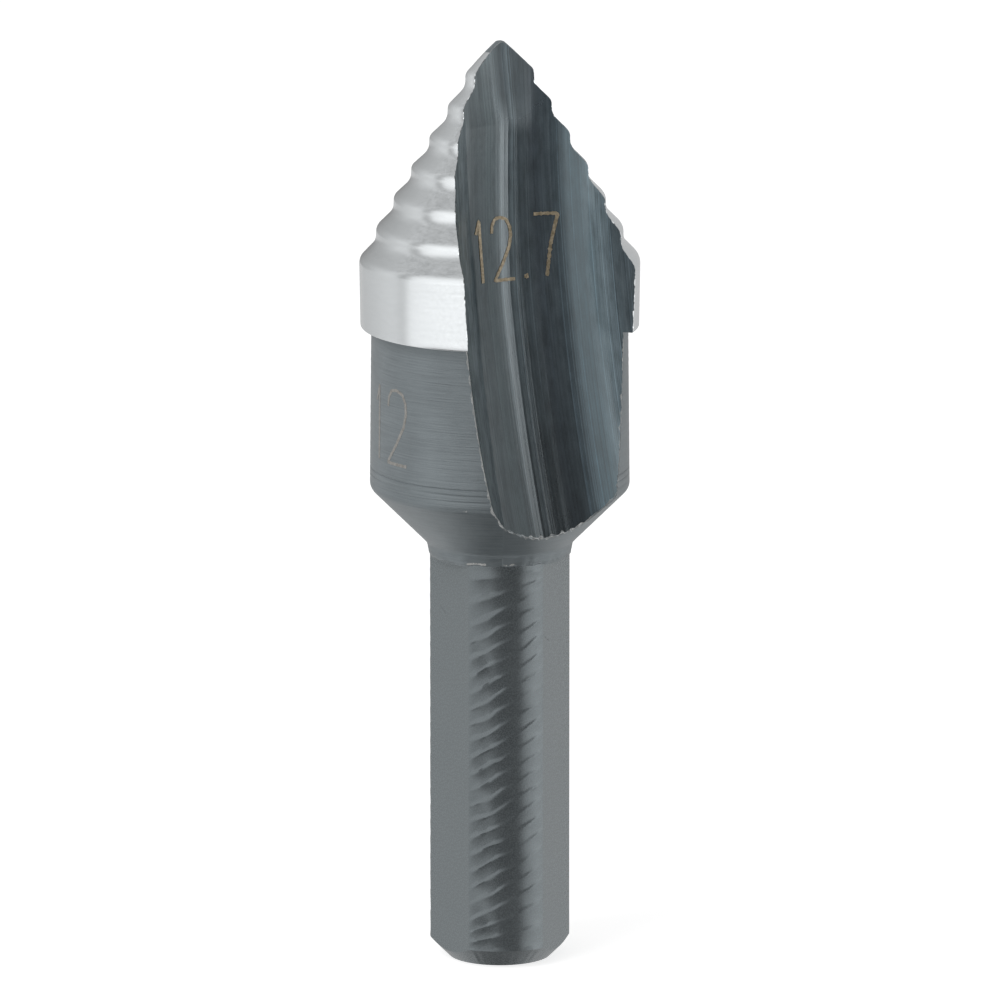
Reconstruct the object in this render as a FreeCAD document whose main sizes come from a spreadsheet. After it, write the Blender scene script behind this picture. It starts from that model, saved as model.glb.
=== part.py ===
import FreeCAD, Part
import math
import os
import Sketcher

# A step drill for sheet metal: a stepped cutting cone with two straight flutes on a round body,
# and a round shank with three flats. One piece of tool steel.
# Millimetres and degrees. +Z runs from the shank end to the cutting tip and the origin is the
# centre of the shank's end face. The front is -Y.

SIZES = (
    # Cutting cone, from the tip down.
    ("tip_flat_dia", 0.36, "blunt end of the 90 degree point"),
    ("tip_round", 0.12, "rounding of the blunt end"),
    ("first_step_dia", 3.175, "smallest hole, 1/8 inch"),
    ("step_increase_dia", 1.5875, "growth in diameter from step to step, 1/16 inch"),
    ("step_pitch", 1.426, "height from one step to the next"),
    ("step_angle", 45.0, "angle between each step's cone and the axis"),
    ("step_corner_radius", 0.4, "worn outer corner of each step"),
    ("step_root_radius", 0.2, "inner corner under each step"),
    # Largest step and the body under it.
    ("land_length", 3.06, "height of the largest step under its cone"),
    ("land_taper_dia", 0.1, "loss of diameter down the largest step"),
    ("land_edge_radius", 0.35, "rounded lower corner of the largest step"),
    ("shoulder_height", 0.49, "height of the shoulder between the largest step and the body"),
    ("body_flare_dia", 0.15, "gain of diameter down the body"),
    ("body_length", 7.42, "straight length of the body"),
    ("body_cone_angle", 45.0, "angle between the body's lower cone and the axis"),
    ("body_edge_radius", 0.2, "rounded edge between the body and its lower cone"),
    # Collar and shank.
    ("collar_dia", 6.6, "short collar over the shank"),
    ("collar_length", 0.52, "height of the collar"),
    ("shank_dia", 6.35, "round shank, 1/4 inch"),
    ("shank_length", 18.78, "length of the shank"),
    ("shank_chamfer", 0.86, "chamfer round the shank end"),
    ("flat_height", 2.81, "distance from the axis to each flat"),
    ("flat_length", 18.7, "length of the flats from the shank end"),
    ("flat_direction", -24.1, "direction that the first flat faces, from +X"),
    # Flute, as the grinding wheel that runs along the drill leaves it.
    ("flute_direction", 30.0, "turn of the wheel's profile about the drill's axis"),
    ("wheel_radius", 60.0, "radius of the wheel, whose curve lifts the flute out of the drill"),
    ("wheel_drop", 0.5, "distance from the tip down to the deepest point of the flute"),
    ("wheel_sweep", 60.0, "angle of the wheel's arc along the drill, half of it each way"),
    ("wheel_depth", 7.0, "depth of the wheel's profile, more than the drill's own radius"),
    ("half_web", 0.2, "half of the web left between the flutes"),
    ("floor_angle", 6.0, "slope of the flute's floor"),
    ("rake_radius", 5.5, "hollow of the wall behind the cutting edge"),
    ("rake_centre_offset", 0.87, "centre of that hollow, sideways from the axis"),
    ("rake_centre_height", 5.15, "centre of that hollow, outward from the axis"),
    ("corner_radius", 0.66, "corner between the rake wall and the floor"),
    ("heel_radius", 3.25, "curve between the floor and the heel wall"),
    ("heel_angle", 66.0, "slope of the heel wall"),
    ("heel_reach", 3.78, "distance from the axis to the foot of the heel wall"),
)
STEP_COUNT = 7
FLUTE_COUNT = 2
FLAT_COUNT = 3


def fill_sheet(document):
    sheet = document.addObject("Spreadsheet::Sheet", "Size")
    for row, (alias, value, note) in enumerate(SIZES, start=1):
        sheet.set("A%d" % row, note)
        sheet.set("B%d" % row, str(value))
        sheet.setAlias("B%d" % row, alias)
    document.recompute()
    return sheet


def origin_feature(body, role):
    for feature in body.Origin.OriginFeatures:
        if feature.Role == role:
            return feature


def add_sketch(body, name, role):
    sketch = body.newObject("Sketcher::SketchObject", name)
    sketch.AttachmentSupport = [(origin_feature(body, role), "")]
    sketch.MapMode = "FlatFace"
    return sketch


def add_dimension(sketch, name, kind, references, start, formula):
    """Drive a sketch dimension by a formula, or only measure it where there is none.
    The start value only tells the solver where to begin."""
    index = sketch.addConstraint(Sketcher.Constraint(kind, *references, start))
    sketch.renameConstraint(index, name)
    if formula is None:
        sketch.setDriving(index, False)
    else:
        sketch.setExpression("Constraints." + name, formula)


def profile_corners():
    """Half profile from the shank end up: name, radius, and rise from the corner before."""
    step_run = "Size.step_increase_dia / 2 / tan(Size.step_angle * 1deg)"
    tip_run = "(Size.first_step_dia - Size.tip_flat_dia) / 2 / tan(Size.step_angle * 1deg)"
    largest = "(Size.first_step_dia + %d * Size.step_increase_dia) / 2" % (STEP_COUNT - 1)
    land_base = largest + " - Size.land_taper_dia / 2"
    body_top = land_base + " - Size.shoulder_height"
    body_base = body_top + " + Size.body_flare_dia / 2"
    body_run = "(%s - Size.collar_dia / 2) / tan(Size.body_cone_angle * 1deg)" % body_base
    corners = [
        ("shank_end", "Size.shank_dia / 2", None),
        ("shank_top", "Size.shank_dia / 2", "Size.shank_length"),
        ("collar_base", "Size.collar_dia / 2", None),
        ("collar_top", "Size.collar_dia / 2", "Size.collar_length"),
        ("body_base", body_base, body_run),
        ("body_top", body_top, "Size.body_length"),
        ("land_base", land_base, None),
        ("land_top", largest, "Size.land_length"),
    ]
    for step in range(STEP_COUNT - 2, -1, -1):
        radius = "(Size.first_step_dia + %d * Size.step_increase_dia) / 2" % step
        corners.append(("root_%d" % step, radius, step_run))
        corners.append(("step_%d" % step, radius, "Size.step_pitch - " + step_run))
    corners.append(("tip_edge", "Size.tip_flat_dia / 2", tip_run))
    return corners


def draw_blank(body):
    """The turned blank's half profile, a closed loop on the XZ plane."""
    sketch = add_sketch(body, "BlankProfile", "XZ_Plane")
    corners = profile_corners()
    points = [FreeCAD.Vector(3, 2 * index, 0) for index in range(len(corners))]
    points = [FreeCAD.Vector(0, 0, 0)] + points + [FreeCAD.Vector(0, 2 * len(corners), 0)]
    count = len(points)
    for index in range(count):
        sketch.addGeometry(Part.LineSegment(points[index], points[(index + 1) % count]), False)
    for index in range(count):
        sketch.addConstraint(Sketcher.Constraint("Coincident", index, 2, (index + 1) % count, 1))
    sketch.addConstraint(Sketcher.Constraint("Coincident", 0, 1, -1, 1))
    sketch.addConstraint(Sketcher.Constraint("Vertical", count - 1))
    sketch.addConstraint(Sketcher.Constraint("Horizontal", 0))
    sketch.addConstraint(Sketcher.Constraint("Horizontal", count - 2))
    for line, (name, radius, rise) in enumerate(corners, start=1):
        add_dimension(sketch, name + "_radius", "DistanceX", (-1, 1, line, 1), 3.0, radius)
        if rise is not None:
            add_dimension(sketch, name + "_rise", "DistanceY", (line - 1, 1, line, 1), 2.0, rise)
        elif line > 1:
            sketch.addConstraint(Sketcher.Constraint("Horizontal", line - 1))
    add_dimension(sketch, "tip_height", "DistanceY", (-1, 1, count - 1, 1), 2.0, None)
    return sketch


def turn_blank(body, sketch):
    blank = body.newObject("PartDesign::Revolution", "Blank")
    blank.Profile = (sketch, [""])
    blank.ReferenceAxis = (sketch, ["V_Axis"])
    blank.Angle = 360
    return blank


def ring_edges(feature, profile, names):
    """The circular edges that the named corners of the profile turn."""
    order = [corner[0] for corner in profile_corners()]
    points = [profile.getPoint(1 + order.index(name), 1) for name in names]
    found = []
    for index, edge in enumerate(feature.Shape.Edges, start=1):
        if not isinstance(edge.Curve, Part.Circle):
            continue
        for point in points:
            right_radius = math.isclose(edge.Curve.Radius, point.x, abs_tol=1e-4)
            if right_radius and math.isclose(edge.Curve.Center.z, point.y, abs_tol=1e-4):
                found.append("Edge%d" % index)
    return found


def round_rings(body, base, profile, name, corners, radius):
    fillet = body.newObject("PartDesign::Fillet", name)
    fillet.Base = (base, ring_edges(base, profile, corners))
    fillet.setExpression("Radius", radius)
    body.Document.recompute()
    return fillet


def round_blank(body, blank, profile):
    """Worn corners of the steps, the land and the body, and the chamfer round the shank end."""
    steps = range(STEP_COUNT - 1)
    outer = ["land_top"] + ["step_%d" % step for step in steps]
    inner = ["root_%d" % step for step in steps]
    last = round_rings(body, blank, profile, "StepCorners", outer, "Size.step_corner_radius")
    last = round_rings(body, last, profile, "StepRoots", inner, "Size.step_root_radius")
    last = round_rings(body, last, profile, "TipRound", ["tip_edge"], "Size.tip_round")
    land_radius = "min(Size.land_edge_radius; 0.8 * Size.shoulder_height)"
    last = round_rings(body, last, profile, "LandEdge", ["land_base"], land_radius)
    last = round_rings(body, last, profile, "BodyEdge", ["body_base"], "Size.body_edge_radius")
    chamfer = body.newObject("PartDesign::Chamfer", "ShankChamfer")
    chamfer.Base = (last, ring_edges(last, profile, ["shank_end"]))
    chamfer.setExpression("Size", "Size.shank_chamfer")
    body.Document.recompute()
    return chamfer


def draw_wheel(body):
    """The grinding wheel's profile across the flute, in a level plane near the tip.
    The sketch's -Y points out of the flute; the wheel turns about the construction line."""
    sketch = add_sketch(body, "WheelProfile", "XY_Plane")
    level = FreeCAD.Vector(0, 0, 40)
    sketch.AttachmentOffset = FreeCAD.Placement(level, FreeCAD.Rotation(FreeCAD.Vector(0, 0, 1), 30))
    level_formula = "BlankProfile.Constraints.tip_height - Size.wheel_drop * 1mm"
    sketch.setExpression("AttachmentOffset.Base.z", level_formula)
    sketch.setExpression("AttachmentOffset.Rotation.Angle", "Size.flute_direction * 1deg")
    normal = FreeCAD.Vector(0, 0, 1)
    rake_circle = Part.Circle(FreeCAD.Vector(0.87, -5.15, 0), normal, 5.5)
    corner_circle = Part.Circle(FreeCAD.Vector(-1.12, -0.74, 0), normal, 0.66)
    heel_circle = Part.Circle(FreeCAD.Vector(0.82, -3.53, 0), normal, 3.25)
    rake_top = FreeCAD.Vector(-4.63, -7, 0)
    heel_foot = FreeCAD.Vector(3.78, -2.22, 0)
    heel_top = FreeCAD.Vector(5.9, -7, 0)
    floor = (FreeCAD.Vector(-1.06, -0.08, 0), FreeCAD.Vector(1.14, -0.3, 0))
    rake = sketch.addGeometry(Part.ArcOfCircle(rake_circle, math.radians(114), math.radians(180)))
    corner = sketch.addGeometry(Part.ArcOfCircle(corner_circle, math.radians(84), math.radians(114)))
    ground = sketch.addGeometry(Part.LineSegment(*floor))
    heel = sketch.addGeometry(Part.ArcOfCircle(heel_circle, math.radians(24), math.radians(84)))
    flank = sketch.addGeometry(Part.LineSegment(heel_foot, heel_top))
    top = sketch.addGeometry(Part.LineSegment(heel_top, rake_top))
    side = sketch.addGeometry(Part.LineSegment(rake_top, FreeCAD.Vector(-4.63, -5.15, 0)))
    axle = sketch.addGeometry(
        Part.LineSegment(FreeCAD.Vector(0, -60, 0), FreeCAD.Vector(10, -60, 0)), True)
    for joint in ((rake, 1, corner, 2), (corner, 1, ground, 1), (ground, 2, heel, 2),
                  (heel, 1, flank, 1), (side, 2, rake, 2)):
        sketch.addConstraint(Sketcher.Constraint("Tangent", *joint))
    sketch.addConstraint(Sketcher.Constraint("Coincident", flank, 2, top, 1))
    sketch.addConstraint(Sketcher.Constraint("Coincident", top, 2, side, 1))
    sketch.addConstraint(Sketcher.Constraint("Horizontal", top))
    sketch.addConstraint(Sketcher.Constraint("Vertical", side))
    sketch.addConstraint(Sketcher.Constraint("Horizontal", axle))
    sketch.addConstraint(Sketcher.Constraint("PointOnObject", axle, 1, -2))
    sketch.addConstraint(Sketcher.Constraint("Equal", axle, top))
    for name, kind, references, start, formula in (
        ("rake_radius", "Radius", (rake,), 5.5, "Size.rake_radius"),
        ("rake_centre_offset", "DistanceX", (-1, 1, rake, 3), 0.87, "Size.rake_centre_offset"),
        ("rake_centre_height", "DistanceY", (rake, 3, -1, 1), 5.15, "Size.rake_centre_height"),
        ("corner_radius", "Radius", (corner,), 0.66, "Size.corner_radius"),
        ("half_web", "Distance", (-1, 1, ground), 0.2, "Size.half_web"),
        ("floor_angle", "Angle", (ground,), math.radians(-6), "-Size.floor_angle * 1deg"),
        ("heel_radius", "Radius", (heel,), 3.25, "Size.heel_radius"),
        ("heel_reach", "DistanceX", (-1, 1, heel, 1), 3.78, "Size.heel_reach"),
        ("heel_angle", "Angle", (flank,), math.radians(-66), "-Size.heel_angle * 1deg"),
        ("wheel_depth", "DistanceY", (flank, 2, -1, 1), 7.0, "Size.wheel_depth"),
        ("axle_height", "DistanceY", (axle, 1, -1, 1), 60.2, "Size.wheel_radius + Size.half_web"),
    ):
        add_dimension(sketch, name, kind, references, start, formula)
    return sketch


def grind_flutes(body, sketch):
    flute = body.newObject("PartDesign::Groove", "Flute")
    flute.Profile = (sketch, [""])
    flute.ReferenceAxis = (sketch, ["Axis0"])
    flute.Midplane = True
    flute.setExpression("Angle", "Size.wheel_sweep * 1deg")
    body.Document.recompute()
    return repeat_round(body, flute, "Flutes", FLUTE_COUNT)


def draw_flat(body):
    """What is ground off one side of the shank, seen from its end."""
    sketch = add_sketch(body, "FlatProfile", "XY_Plane")
    origin = FreeCAD.Vector(0, 0, 0)
    sketch.AttachmentOffset = FreeCAD.Placement(origin, FreeCAD.Rotation(FreeCAD.Vector(0, 0, 1), 10))
    sketch.setExpression("AttachmentOffset.Rotation.Angle", "Size.flat_direction * 1deg")
    corners = [FreeCAD.Vector(3, -3, 0), FreeCAD.Vector(6, -3, 0),
               FreeCAD.Vector(6, 3, 0), FreeCAD.Vector(3, 3, 0)]
    for index in range(4):
        sketch.addGeometry(Part.LineSegment(corners[index], corners[(index + 1) % 4]))
    for index in range(4):
        sketch.addConstraint(Sketcher.Constraint("Coincident", index, 2, (index + 1) % 4, 1))
    for index, direction in enumerate(("Horizontal", "Vertical", "Horizontal")):
        sketch.addConstraint(Sketcher.Constraint(direction, index))
    sketch.addConstraint(Sketcher.Constraint("Symmetric", 0, 1, 2, 2, -1))
    add_dimension(sketch, "flat_height", "DistanceX", (-1, 1, 0, 1), 3, "Size.flat_height")
    add_dimension(sketch, "outer_side", "DistanceX", (-1, 1, 0, 2), 6, "Size.shank_dia")
    add_dimension(sketch, "width", "DistanceY", (0, 1, 2, 2), 6, "Size.shank_dia")
    return sketch


def grind_flats(body, sketch):
    flat = body.newObject("PartDesign::Pocket", "ShankFlat")
    flat.Profile = (sketch, [""])
    flat.Type = "Length"
    flat.Reversed = True
    flat.setExpression("Length", "Size.flat_length")
    body.Document.recompute()
    return repeat_round(body, flat, "ShankFlats", FLAT_COUNT)


def repeat_round(body, feature, name, count):
    pattern = body.newObject("PartDesign::PolarPattern", name)
    pattern.Originals = [feature]
    pattern.Axis = (origin_feature(body, "Z_Axis"), [""])
    pattern.Angle = 360
    pattern.Occurrences = count
    body.Tip = pattern
    body.Document.recompute()
    return pattern


def check_document(document):
    for thing in document.Objects:
        if "Invalid" in thing.State or "Error" in thing.State:
            raise RuntimeError("%s failed: %s" % (thing.Name, thing.State))


def check_cut(before, after):
    if not after.Shape.Volume < before.Shape.Volume - 1.0:
        raise RuntimeError("%s took nothing off" % after.Name)


def build():
    document = FreeCAD.newDocument("StepDrill")
    fill_sheet(document)
    body = document.addObject("PartDesign::Body", "StepDrill")
    body.Label = "step_drill"
    body.Placement = FreeCAD.Placement()
    profile = draw_blank(body)
    document.recompute()
    blank = turn_blank(body, profile)
    document.recompute()
    rounded = round_blank(body, blank, profile)
    fluted = grind_flutes(body, draw_wheel(body))
    finished = grind_flats(body, draw_flat(body))
    check_document(document)
    check_cut(rounded, fluted)
    check_cut(fluted, finished)
    if body.Shape.isNull() or not body.Shape.isValid() or len(body.Shape.Solids) != 1:
        raise RuntimeError("the drill is not one valid solid")
    os.makedirs("parts", exist_ok=True)
    body.Shape.exportStep("parts/%s.step" % body.Label)


build()
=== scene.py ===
import math

import bmesh
import bpy
import numpy as np
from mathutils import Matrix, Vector


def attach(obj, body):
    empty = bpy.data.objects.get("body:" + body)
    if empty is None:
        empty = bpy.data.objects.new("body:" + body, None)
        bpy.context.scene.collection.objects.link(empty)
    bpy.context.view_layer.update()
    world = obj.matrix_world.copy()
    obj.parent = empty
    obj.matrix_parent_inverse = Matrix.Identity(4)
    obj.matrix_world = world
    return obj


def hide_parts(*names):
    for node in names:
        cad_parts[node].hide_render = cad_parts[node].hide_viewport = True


# Looks for the step drill. Sizes are in millimetres here and become metres when a mesh is made.
# Angles about the drill run from -Y, where the viewer stands, towards +X.

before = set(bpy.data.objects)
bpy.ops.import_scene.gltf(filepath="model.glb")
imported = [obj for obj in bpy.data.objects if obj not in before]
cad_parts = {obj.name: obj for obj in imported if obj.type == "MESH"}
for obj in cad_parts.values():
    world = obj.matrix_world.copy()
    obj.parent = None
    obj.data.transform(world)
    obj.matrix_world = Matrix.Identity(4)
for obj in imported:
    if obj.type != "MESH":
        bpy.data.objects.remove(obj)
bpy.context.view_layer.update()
MM = 0.001

# Sizes of the drill, from the shank end up.
SHANK_R = 3.175
SHANK_TOP = 18.78
CHAMFER = 0.86
FLAT_HEIGHT = 2.81
FLAT_TOP = 18.7
FLAT_DIRECTIONS = (-54.1, 65.9, 185.9)
COLLAR_R = 3.3
COLLAR_TOP = SHANK_TOP + 0.52
LAND_R = 6.35
LAND_BASE_R = 6.3
BODY_TOP_R = 5.81
BODY_BASE_R = 5.885
BODY_BASE = COLLAR_TOP + BODY_BASE_R - COLLAR_R
LAND_BASE = BODY_BASE + 7.42
LAND_TOP = LAND_BASE + 3.06
STEP_RS = [1.5875 + 0.79375 * k for k in range(6)]
STEP_PITCH = 1.426
STEP_RUN = 0.79375
STEP_EXTRA = 0.03
TIP_R = 0.18
TIP = LAND_TOP + 6 * STEP_PITCH + STEP_RS[0] - TIP_R
# Above this the point is dark all round.
POINT_BASE = TIP - 0.5

# Grinding ridges on the round parts of the shank: their pitch, the greatest depth between two of
# them, where the rows of one lie along the pitch, the share of the depth at places across the
# round part, and the height above which the rings are level.
RIDGE = 0.76
RIDGE_DEPTH = 0.045
RIDGE_ROWS = (0.0, 0.09, 0.18, 0.30, 0.45, 0.60, 0.75, 0.89)
RIDGE_PLACES = (-1.0, -0.6, -0.1, 0.4, 1.0)
RIDGE_DEPTHS = (0.35, 0.9, 0.45, 0.3, 0.28)
RIDGE_SLANT = 0.53
LEVEL_FROM = 1.6

# Fine grooves round the body, as height and depth.
GROOVES = ((22.30, 0.012), (22.58, 0.02), (22.85, 0.03), (23.2, 0.01))

# Heights between which the flute's columns bend down to its exit through the lower cone.
EXIT_TOP = 23.4
EXIT_CORNER = 20.95

# Width of the worn edges of the body and of the steps, and the heel edge's share of it.
BODY_CHIP = 0.045
STEP_CHIP = 0.022
HEEL_SHARE = 0.6

# The steps are ground with relief: their edges climb towards the cutting edge, in mm a radian.
RELIEF_HEIGHTS = (LAND_BASE, LAND_TOP, LAND_TOP + 1.4, LAND_TOP + 3.0, TIP - 0.5, TIP)
RELIEF = (0.0, 0.25, 0.17, 0.14, 0.1, 0.0)

# The grinding wheel that makes a flute.
FLUTE_TURN = math.radians(30)
HALF_WEB = 0.2
AXLE = 60.2
DEEPEST = TIP - 0.5
# The corner between the rake and the floor is worn round, ending in a crisp line.
FLOOR_LINE = 0.07
BLEND_V = (-2.2, -1.4, -1.2, -1.0, -0.5, -0.3, -0.1, 0.05, 0.1)
BLEND_DEPTH = (0, 0.257, 0.255, 0.211, 0.084, 0.044, 0.018, 0.003, 0)
# That line drifts along the flute, by these amounts at these heights, between these places.
DRIFT_HEIGHTS = (24, 31, 36, 38.6, 39.7, 41.8)
DRIFT = (0.24, 0.22, -0.05, -0.18, -0.08, 0.12)
DRIFT_PLACES = (-3.0, -1.8, 0.3, 1.5)


def wave(x, seed, period, parts=9):
    """Smooth irregular wave of about unit size, the same on every run."""
    rng = np.random.default_rng(seed)
    total = np.zeros_like(np.asarray(x, dtype=float))
    for _ in range(parts):
        rate = 2 * math.pi / (period * rng.uniform(0.5, 2.0))
        total = total + rng.normal() * np.sin(rate * x + rng.uniform(0, 2 * math.pi))
    return total / math.sqrt(parts)


def rounded(corners, step):
    """Points along a profile of (radius, height, rounding), with its corners rounded. A rounding
    takes at most 0.6 of the sides beside it."""
    points = []
    count = len(corners)
    for i, (r, h, rounding) in enumerate(corners):
        here = np.array([r, h])
        if rounding == 0 or i in (0, count - 1):
            points.append(here)
            continue
        before = np.array(corners[i - 1][:2]) - here
        after = np.array(corners[i + 1][:2]) - here
        size = min(rounding, 0.6 * np.hypot(*before), 0.6 * np.hypot(*after))
        start = here + before / np.hypot(*before) * size
        end = here + after / np.hypot(*after) * size
        for t in np.linspace(0, 1, 6):
            points.append((1 - t) ** 2 * start + 2 * t * (1 - t) * here + t ** 2 * end)
    dense = [points[0]]
    for a, b in zip(points, points[1:]):
        pieces = max(1, int(math.ceil(np.hypot(*(b - a)) / step)))
        for k in range(1, pieces + 1):
            dense.append(a + (b - a) * k / pieces)
    return np.array(dense)


def wheel_profile():
    """The wheel's profile: distance along it, offset across the flute, and depth from the axis."""
    rake_r, rake = 5.5, np.array([0.87, 5.15])
    corner_r, heel_r, reach = 0.66, 3.25, 3.78
    rim = 7.5
    slope, steep = math.radians(6), math.radians(66)
    along = np.array([math.cos(slope), math.sin(slope)])
    normal = np.array([-math.sin(slope), math.cos(slope)])
    foot = normal * HALF_WEB
    base = foot + corner_r * normal
    w = base - rake
    shift = -(w @ along) - math.sqrt((w @ along) ** 2 - (w @ w - (rake_r - corner_r) ** 2))
    corner = base + shift * along
    out = (corner - rake) / np.hypot(*(corner - rake))
    heel_x = reach - heel_r * math.sin(steep)
    heel = foot + heel_r * normal + (heel_x - (foot + heel_r * normal)[0]) / along[0] * along
    flank = heel + heel_r * np.array([math.sin(steep), -math.cos(steep)])
    rake_end = math.atan2(out[1], out[0]) % (2 * math.pi)
    turn = np.linspace(math.pi, rake_end, 300)
    rake_arc = rake + rake_r * np.c_[np.cos(turn), np.sin(turn)]
    turn = np.linspace(rake_end, slope + 1.5 * math.pi, 40)
    corner_arc = corner + corner_r * np.c_[np.cos(turn), np.sin(turn)]
    turn = np.linspace(slope, steep, 200)
    heel_arc = heel + heel_r * np.c_[np.sin(turn), -np.cos(turn)]
    top = flank + (rim - flank[1]) / math.sin(steep) * np.array([math.cos(steep), math.sin(steep)])
    points = np.vstack([[[rake[0] - rake_r, rim]], rake_arc, corner_arc[1:], heel_arc, [top]])
    length = np.r_[0, np.cumsum(np.hypot(*np.diff(points, axis=0).T))]
    s = np.linspace(0, length[-1], 2400)
    v = np.interp(s, length, points[:, 0])
    depth = np.interp(s, length, points[:, 1])
    depth = depth + np.interp(v, BLEND_V, BLEND_DEPTH)
    depth = depth + 0.0015 * wave(v, 3, 0.35) + 0.005 * wave(v, 4, 1.3)
    middle = s[np.argmin(np.abs(v) + 10 * (depth > 1))]
    return s - middle, v, depth


WHEEL_S, WHEEL_V, WHEEL_DEPTH = wheel_profile()
FLOOR = WHEEL_DEPTH < 4


def drifted(s, h):
    """The place in the wheel's profile that cuts a place of the flute at a height."""
    return s + np.interp(h, DRIFT_HEIGHTS, DRIFT) * np.interp(s, DRIFT_PLACES, (0, 1, 1, 0))


def flute_point(s, h):
    """A point of the front flute: x, y and the offset across the flute."""
    v = np.interp(s, WHEEL_S, WHEEL_V)
    depth = np.interp(drifted(s, h), WHEEL_S, WHEEL_DEPTH)
    u = AXLE - np.sqrt((AXLE - depth) ** 2 - (h - DEEPEST) ** 2)
    x = v * math.cos(FLUTE_TURN) + u * math.sin(FLUTE_TURN)
    y = v * math.sin(FLUTE_TURN) - u * math.cos(FLUTE_TURN)
    return x, y, v


def flute_edges(r, h):
    """Where the flute's section crosses the circle of radius r, on the rake and the heel side."""
    depth = np.interp(drifted(WHEEL_S, h), WHEEL_S, WHEEL_DEPTH)
    u = AXLE - np.sqrt((AXLE - depth) ** 2 - (h - DEEPEST) ** 2)
    reach = np.hypot(WHEEL_V, u)
    middle = int(np.argmin(reach))
    if reach[middle] >= r:
        return WHEEL_S[middle] - 0.01, WHEEL_S[middle] + 0.01
    i = np.where(reach[:middle + 1] >= r)[0][-1]
    part = (reach[i] - r) / (reach[i] - reach[i + 1])
    rake = WHEEL_S[i] + part * (WHEEL_S[i + 1] - WHEEL_S[i])
    j = middle + np.where(reach[middle:] >= r)[0][0]
    part = (r - reach[j - 1]) / (reach[j] - reach[j - 1])
    heel = WHEEL_S[j - 1] + part * (WHEEL_S[j] - WHEEL_S[j - 1])
    return rake, heel


def turn_of(x, y):
    """The angle about the drill of a point."""
    return np.arctan2(x, -y)


def crowded(count, pull):
    """From 0 to 1 in count steps, closer together near both ends."""
    t = np.linspace(0, 1, count)
    return (1 - pull) * t + pull * (0.5 - 0.5 * np.cos(math.pi * t))


# Columns round half of the head: the flute, then the land behind it.
FLUTE_COLUMNS = 96
LAND_COLUMNS = 58
FLUTE_T = np.r_[crowded(FLUTE_COLUMNS // 2, 0.6) / 2,
                0.5 + crowded(FLUTE_COLUMNS // 2 + 1, 0.6)[1:] / 2]
LAND_T = crowded(LAND_COLUMNS, 0.75)


def across_flute(rake, heel, h):
    """Places of the flute's columns along the wheel's profile, one of them on the floor line."""
    line = FLOOR_LINE - np.interp(h, DRIFT_HEIGHTS, DRIFT)
    line = np.clip(line, rake + 0.2 * (heel - rake), heel - 0.2 * (heel - rake))
    return np.where(FLUTE_T < 0.5, rake + (line - rake) * 2 * FLUTE_T,
                    line + (heel - line) * (2 * FLUTE_T - 1))


def chip(h, seed, size):
    """Width of the worn edge at a height: narrow, with a few larger chips."""
    rough = wave(h, seed, 0.5) * 0.5 + wave(h, seed + 50, 0.16) * 0.6
    deep = np.clip(wave(h, seed + 90, 0.9) - 0.8, 0, 1)
    return size * (np.clip(1 + rough, 0.15, 2.8) + 4.0 * deep)


def half_ring(r, h, size):
    """Half of one ring of the outline: flute columns, then land columns. The ring is level where
    there is no relief, and climbs towards the cutting edge where there is."""
    climb = float(np.interp(h, RELIEF_HEIGHTS, RELIEF))
    rake_h = heel_h = h
    for _ in range(2):
        rake, heel = flute_edges(r, rake_h)[0], flute_edges(r, heel_h)[1]
        rake_turn = float(turn_of(*flute_point(rake, rake_h)[:2]))
        heel_turn = float(turn_of(*flute_point(heel, heel_h)[:2]))
        rake_h = h + climb * (rake_turn + math.pi / 2)
        heel_h = h + climb * (heel_turn - math.pi / 2)
    room = heel - rake
    rake_chip = min(chip(h, 11, size), 0.12 * room)
    heel_chip = min(chip(h, 12, HEEL_SHARE * size), 0.12 * room)
    level = rake_h + (heel_h - rake_h) * FLUTE_T
    s = across_flute(rake + rake_chip, heel - heel_chip, h)
    x, y, _ = flute_point(s, level)
    inside = np.minimum(1, r / np.hypot(x, y))
    x, y = x * inside, y * inside
    land_from = heel_turn + min(chip(h, 13, HEEL_SHARE * size) / r, 0.2)
    land_to = math.pi + rake_turn - min(chip(h, 14, size) / r, 0.2)
    turn = land_from + (land_to - land_from) * LAND_T
    level = np.r_[level, h + climb * (turn - math.pi / 2)]
    points = np.c_[np.r_[x, r * np.sin(turn)], np.r_[y, -r * np.cos(turn)], level]
    lay = np.c_[np.r_[drifted(s, h), turn * 6.0],
                np.r_[np.zeros(FLUTE_COLUMNS), np.ones(LAND_COLUMNS)], np.full(len(level), h)]
    return points, lay


def worn_columns(heel):
    """How worn each column is: fully at the rake edge, and by heel at the heel edge."""
    worn = np.zeros(FLUTE_COLUMNS + LAND_COLUMNS)
    worn[[0, -1]] = 1.0
    worn[[FLUTE_COLUMNS - 1, FLUTE_COLUMNS]] = heel
    return worn


def outline_radius(profile, h):
    """The profile's radius at a height."""
    return np.interp(h, profile[:, 1], profile[:, 0])


def exit_heights(profile):
    """Where each flute column runs out through the lower cone."""
    rake, heel = flute_edges(outline_radius(profile, EXIT_CORNER), EXIT_CORNER)
    s = across_flute(rake, heel, EXIT_CORNER)
    low = np.full(FLUTE_COLUMNS, COLLAR_TOP + 0.05)
    high = np.full(FLUTE_COLUMNS, EXIT_CORNER + 0.3)
    for _ in range(40):
        middle = (low + high) / 2
        x, y, _ = flute_point(s, middle)
        outside = np.hypot(x, y) > outline_radius(profile, middle)
        low = np.where(outside, middle, low)
        high = np.where(outside, high, middle)
    return (low + high) / 2


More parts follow.
